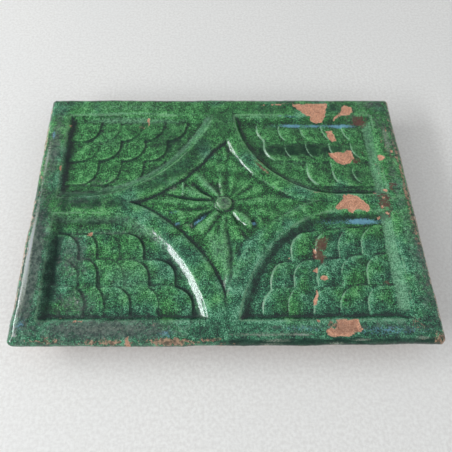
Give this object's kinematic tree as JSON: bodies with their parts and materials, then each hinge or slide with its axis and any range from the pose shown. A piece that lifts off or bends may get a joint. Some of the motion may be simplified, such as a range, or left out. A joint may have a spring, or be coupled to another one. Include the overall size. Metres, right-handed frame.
{
  "type": "stove tile",
  "caption": "Glazed relief tile for a masonry stove: face plate with scale panels, curved ribs and a rosette, and a hollow rump behind.",
  "frame": {"origin": "middle of the tile on the plane of the rump's rim, where the tile lies on a surface", "axes": "+X along the length, +Y across the width towards the far long edge, +Z out of the glazed face"},
  "size_m": [0.305, 0.2194, 0.0286],
  "materials": {
    "green_glaze": "mottled copper-green lead glaze, glossy, chipped to the salmon clay"
  },
  "bodies": {
    "root": {"stove_tile": "green_glaze"}
  },
  "joints": []
}
